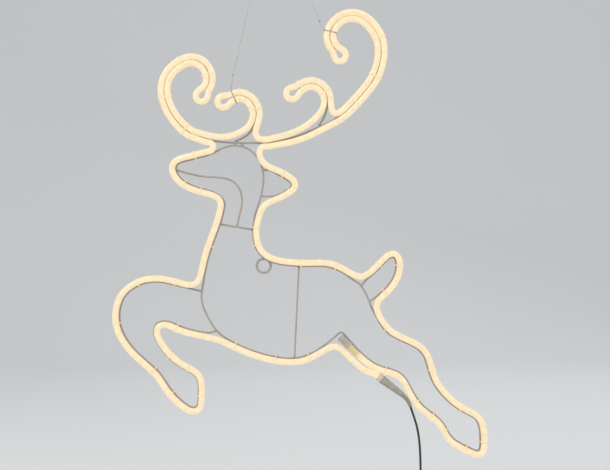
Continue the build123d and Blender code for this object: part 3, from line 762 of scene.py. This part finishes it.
class REINDEER_OT_lead(bpy.types.Operator):
    """Lay the lead from the strain relief through its coil to the connector"""
    bl_idname = "reindeer.lead"
    bl_label = "Lead and connector"

    def execute(self, context):
        settings = context.scene.reindeer.cords
        low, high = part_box("lead_coil")
        centre = (low + high) / 2
        points = [LEAD_EXIT + Vector((x, 0, z)) for x, z in LEAD_ROUTE]
        points += coil_turns(centre)
        points += [Vector((centre.x + x, y, centre.z + z)) for x, y, z in LEAD_END_ROUTE]
        sheath = sheath_finish(settings)
        lead = curve_piece("lead_cord", points, settings.lead_diameter / 2)
        lead.data.materials.append(sheath)
        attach(lead, "motif")
        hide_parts("lead", "lead_coil", "lead_end")

        body = Finish("Connector plastic", Coat_Weight=0.05)
        tree = body.tree
        skin = body.grain(0.0004, 0.008)
        scuffs = body.wear(0.0018, 0.6)
        dark = mixed(tree, skin["Mottle"], settings.plastic, tinted(settings.plastic, 1.7))
        body.set("Base Color", mixed(tree, scuffs, dark, tinted(settings.plastic, 4.0)))
        body.set("Roughness", ranged(tree, skin["Height"], 0.3, 0.7, 0.40, 0.60))
        body.bump(skin["Height"], 0.00015, 0.6)
        finished("connector_body", body.material)
        finished("screw_collar", body.material)

        strap = Finish("Hook and loop strap", Roughness=0.9, Sheen_Weight=0.5, Sheen_Roughness=0.4)
        tree = strap.tree
        weave = node(tree, "ShaderNodeTexVoronoi",
                     inputs={"Vector": object_place(tree), "Scale": 1400.0})
        fluff = strap.grain(0.0005, 0.004)
        strap.set("Base Color", mixed(tree, fluff["Mottle"],
                                   (0.012, 0.012, 0.013), (0.04, 0.04, 0.042)))
        strap.bump(weave.outputs["Distance"], 0.0004, 0.8)
        finished("coil_tie", strap.material)

        seal = Finish("Seal rubber")
        tree = seal.tree
        skin = seal.grain(0.0004, 0.004)
        seal.set("Base Color", mixed(tree, skin["Mottle"],
                                  settings.seal, tinted(settings.seal, 1.5)))
        seal.set("Roughness", ranged(tree, skin["Height"], 0.3, 0.7, 0.45, 0.65))
        seal.bump(skin["Height"], 0.0001)
        finished("connector_seal", seal.material)

        brass = Finish("Contact brass", Metallic=1.0)
        tree = brass.tree
        skin = brass.grain(0.0003, 0.003)
        brass.set("Base Color", mixed(tree, skin["Mottle"],
                                   tinted(settings.brass, 0.7), settings.brass))
        brass.set("Roughness", ranged(tree, skin["Height"], 0.3, 0.7, 0.18, 0.34))
        brass.bump(skin["Height"], 0.00004)
        finished("connector_pins", brass.material)
        finished("feed_conductors", brass.material)

        return {"FINISHED"}


# ------------------------------------------------------------------ hanging lines
# For each line: the middle of its loop, the strand's direction there, its foot,
# its knot and its top, all seen from the front in metres.
LINES = (
    ("left", (-0.0595, 0.3385), (-0.9104, -0.4138),
     (-0.0651, 0.3507), (-0.0610, 0.3820), (-0.0230, 0.5460)),
    ("right", (0.1340, 0.4680), (-0.2425, -0.9701),
     (0.1210, 0.4713), (0.1120, 0.4900), (0.0890, 0.5460)),
)
LOOP_HALF_WIDTH = 0.01345
LOOP_FRONT = 0.0194
LOOP_BACK = 0.0062
LOOP_HEEL = 0.0018
LOOP_WIRE_HALF = 0.0023


def knot_mesh(place, radius, reach):
    """A pulled-tight overhand knot."""
    points = []
    for step in range(36):
        turn = math.tau * step / 36
        across = math.sin(turn) + 2 * math.sin(2 * turn)
        up = math.cos(turn) - 2 * math.cos(2 * turn)
        points.append(place + Vector((across, -math.sin(3 * turn), up)) * (reach / 3))
    return curve_mesh(points, radius, closed=True, resolution=2)


def joined_meshes(name, meshes):
    whole = bmesh.new()
    for mesh in meshes:
        whole.from_mesh(mesh)
    joined = bpy.data.meshes.new(name)
    whole.to_mesh(joined)
    whole.free()
    joined.shade_smooth()
    return joined


class REINDEER_OT_lines(bpy.types.Operator):
    """Tie the two nylon hanging lines to the antlers"""
    bl_idname = "reindeer.lines"
    bl_label = "Hanging lines"

    def execute(self, context):
        settings = context.scene.reindeer.cords
        nylon = Finish("Clear nylon", Transmission_Weight=0.45, IOR=1.53, Coat_Weight=0.2)
        tree = nylon.tree
        skin = nylon.grain(0.0005, 0.006)
        nylon.set("Base Color", mixed(tree, skin["Mottle"],
                                   tinted(settings.line, 0.85), settings.line))
        nylon.set("Roughness", ranged(tree, skin["Height"], 0.3, 0.7, 0.14, 0.30))
        nylon.bump(skin["Height"], 0.00003)
        radius = settings.line_diameter / 2
        for side, middle, ahead, foot, knot, top in LINES:
            foot, knot, top, middle = (Vector((x, NEON_MIDDLE, z))
                                       for x, z in (foot, knot, top, middle))
            forward = Vector((ahead[0], 0, ahead[1]))
            across = Vector((-ahead[1], 0, ahead[0]))
            before = knot + (foot - knot).normalized() * 0.007
            after = knot + (top - knot).normalized() * 0.007
            cord = curve_piece(f"{side}_line", [foot, before, knot, after, top], radius,
                               resolution=8)
            cord.data.materials.append(nylon.material)
            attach(cord, "motif")
            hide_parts(f"{side}_hanging_line")
            outline = ((LOOP_HALF_WIDTH, LOOP_BACK), (LOOP_HALF_WIDTH, LOOP_FRONT),
                       (-LOOP_HALF_WIDTH, LOOP_FRONT), (-LOOP_HALF_WIDTH, LOOP_BACK),
                       (-LOOP_WIRE_HALF, LOOP_HEEL), (LOOP_WIRE_HALF, LOOP_HEEL))
            loops = []
            for shift in (-radius, radius):
                ring = [middle + forward * shift + across * aside
                        + Vector((0, -depth - NEON_MIDDLE, 0))
                        for aside, depth in outline]
                loops.append(curve_mesh(ring, radius, closed=True, smooth=False))
            bound = mesh_piece(f"{side}_line_loop", joined_meshes(f"{side}_line_loop", loops),
                               nylon.material)
            tied = [knot_mesh(place, radius * 0.8, 0.0017) for place in (knot, top)]
            knots = mesh_piece(f"{side}_line_knots", joined_meshes(f"{side}_line_knots", tied),
                               nylon.material)
        return {"FINISHED"}


# ------------------------------------------------------------------ the stage
FLOOR_DROP = 0.09
FLOOR_HALF = 14.0
BACKDROP_AT = 5.5
BACKDROP_BEND = 2.2
BACKDROP_HEIGHT = 5.5
VIEW_CENTRE = (0.083, 0.062)


def area_light(name, power, across, place, target, value):
    light = bpy.data.lights.new(name, "AREA")
    light.energy = power
    light.size = across
    light.color = value
    lamp = bpy.data.objects.new(name, light)
    bpy.context.collection.objects.link(lamp)
    lamp.location = place
    lamp.rotation_euler = (Vector(target) - Vector(place)).to_track_quat("-Z", "Y").to_euler()


def sweep_mesh(floor_at):
    """A floor that curves up into a backdrop."""
    profile = [(-FLOOR_HALF, floor_at), (BACKDROP_AT - BACKDROP_BEND, floor_at)]
    for step in range(1, 25):
        angle = math.pi / 2 * step / 24
        profile.append((BACKDROP_AT - BACKDROP_BEND + BACKDROP_BEND * math.sin(angle),
                        floor_at + BACKDROP_BEND * (1 - math.cos(angle))))
    profile.append((BACKDROP_AT, floor_at + BACKDROP_HEIGHT))
    points = [(side * FLOOR_HALF, y, z) for y, z in profile for side in (-1, 1)]
    faces = [(2 * i, 2 * i + 1, 2 * i + 3, 2 * i + 2) for i in range(len(profile) - 1)]
    mesh = bpy.data.meshes.new("floor_sweep")
    mesh.from_pydata(points, [], faces)
    mesh.shade_smooth()
    return mesh


class REINDEER_OT_stage(bpy.types.Operator):
    """Lay the floor and backdrop, and set the lights and the camera"""
    bl_idname = "reindeer.stage"
    bl_label = "Stage"

    def execute(self, context):
        settings = context.scene.reindeer.stage
        paper = Finish("Backdrop paper", Roughness=0.9)
        tree = paper.tree
        skin = paper.grain(0.004, 1.5)
        paper.set("Base Color", mixed(tree, skin["Mottle"],
                                   tinted(settings.floor, 0.98), settings.floor))
        paper.bump(skin["Height"], 0.0005, 0.2)
        mesh = sweep_mesh(cad_low.z - FLOOR_DROP)
        mesh.materials.append(paper.material)
        floor = bpy.data.objects.new("floor_sweep", mesh)
        context.collection.objects.link(floor)

        world = bpy.data.worlds.new("Studio air")
        world.use_nodes = True
        air = world.node_tree.nodes["Background"]
        air.inputs["Color"].default_value = (0.93, 0.96, 1.0, 1)
        air.inputs["Strength"].default_value = settings.air
        context.scene.world = world
        target = (VIEW_CENTRE[0], NEON_MIDDLE, VIEW_CENTRE[1])
        area_light("key_light", settings.key, 2.2, (-1.9, -2.3, 2.3), target, (1.0, 0.98, 0.95))
        area_light("fill_light", settings.fill, 2.6, (2.6, -2.0, 1.0), target, (0.94, 0.97, 1.0))
        area_light("back_light", settings.fill, 2.6, (1.5, 2.6, 2.4), target, (0.96, 0.98, 1.0))

        camera = bpy.data.cameras.new("camera")
        camera.sensor_width = 36.0
        camera.lens = camera.sensor_width * settings.camera_distance / settings.view_width
        camera.clip_end = 100.0
        viewer = bpy.data.objects.new("camera", camera)
        context.collection.objects.link(viewer)
        viewer.location = (VIEW_CENTRE[0], NEON_MIDDLE - settings.camera_distance, VIEW_CENTRE[1])
        viewer.rotation_euler = (math.pi / 2, 0, 0)
        context.scene.camera = viewer
        context.scene.view_settings.view_transform = "Standard"
        return {"FINISHED"}


# ------------------------------------------------------------------ the add-on
OPERATORS = (REINDEER_OT_neon, REINDEER_OT_ends, REINDEER_OT_frame, REINDEER_OT_ties,
             REINDEER_OT_lead, REINDEER_OT_lines, REINDEER_OT_stage)


class REINDEER_PT_panel(bpy.types.Panel):
    """The reindeer's settings and makers"""
    bl_label = "Reindeer"
    bl_idname = "REINDEER_PT_panel"
    bl_space_type = "VIEW_3D"
    bl_region_type = "UI"
    bl_category = "Reindeer"

    def draw(self, context):
        settings = context.scene.reindeer
        for group in (settings.neon, settings.frame, settings.cords, settings.stage):
            box = self.layout.box()
            for name in group.__annotations__:
                box.prop(group, name)
        for operator in OPERATORS:
            self.layout.operator(operator.bl_idname)


CLASSES = (NeonSettings, FrameSettings, CordSettings, StageSettings, ReindeerSettings,
           *OPERATORS, REINDEER_PT_panel)


def register():
    for made in CLASSES:
        bpy.utils.register_class(made)
    bpy.types.Scene.reindeer = bpy.props.PointerProperty(type=ReindeerSettings)


def unregister():
    del bpy.types.Scene.reindeer
    for made in reversed(CLASSES):
        bpy.utils.unregister_class(made)


def main():
    register()
    bpy.ops.reindeer.neon()
    bpy.ops.reindeer.ends()
    bpy.ops.reindeer.frame()
    bpy.ops.reindeer.ties()
    bpy.ops.reindeer.lead()
    bpy.ops.reindeer.lines()
    bpy.ops.reindeer.stage()


if __name__ == "__main__":
    main()
